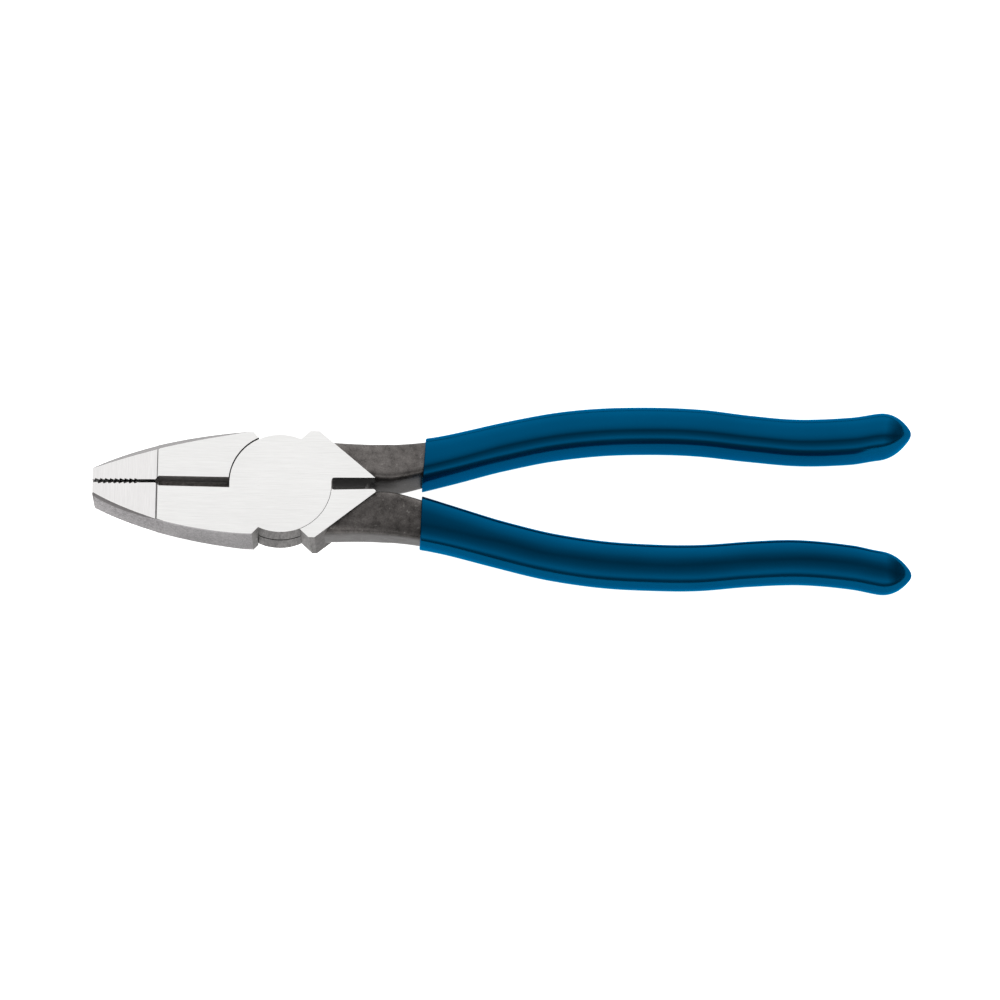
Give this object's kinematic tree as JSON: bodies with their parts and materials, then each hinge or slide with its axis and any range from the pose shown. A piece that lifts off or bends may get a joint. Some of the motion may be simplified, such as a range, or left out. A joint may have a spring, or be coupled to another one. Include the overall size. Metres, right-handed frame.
{
  "type": "lineman pliers",
  "caption": "Side-cutting lineman pliers: blunt toothed nose, joint knives and a flush riveted lap joint, with long curved handles in dipped grips.",
  "frame": {"origin": "on the pivot axis, at the ground back face of the joint, which the tool lies on", "axes": "+Z along the pivot out of the front ground face, -X towards the nose, +X towards the handle ends, +Y towards the front half's handle"},
  "size_m": [0.2379, 0.055, 0.0159],
  "materials": {
    "ground_steel": "ground",
    "rivet_steel": "ground flush",
    "grip_blue": "glossy dipped plastisol"
  },
  "bodies": {
    "front_half": {"front_half": "ground_steel", "pivot_rivet": "rivet_steel", "front_grip": "grip_blue"},
    "back_half": {"back_half": "ground_steel", "back_grip": "grip_blue"}
  },
  "joints": [
    {"name": "pivot", "type": "hinge", "parent": "front_half", "child": "back_half", "pos_m": [0, 0, 0], "axis": [0, 0, -1], "range_deg": [-0.4, 44]}
  ]
}
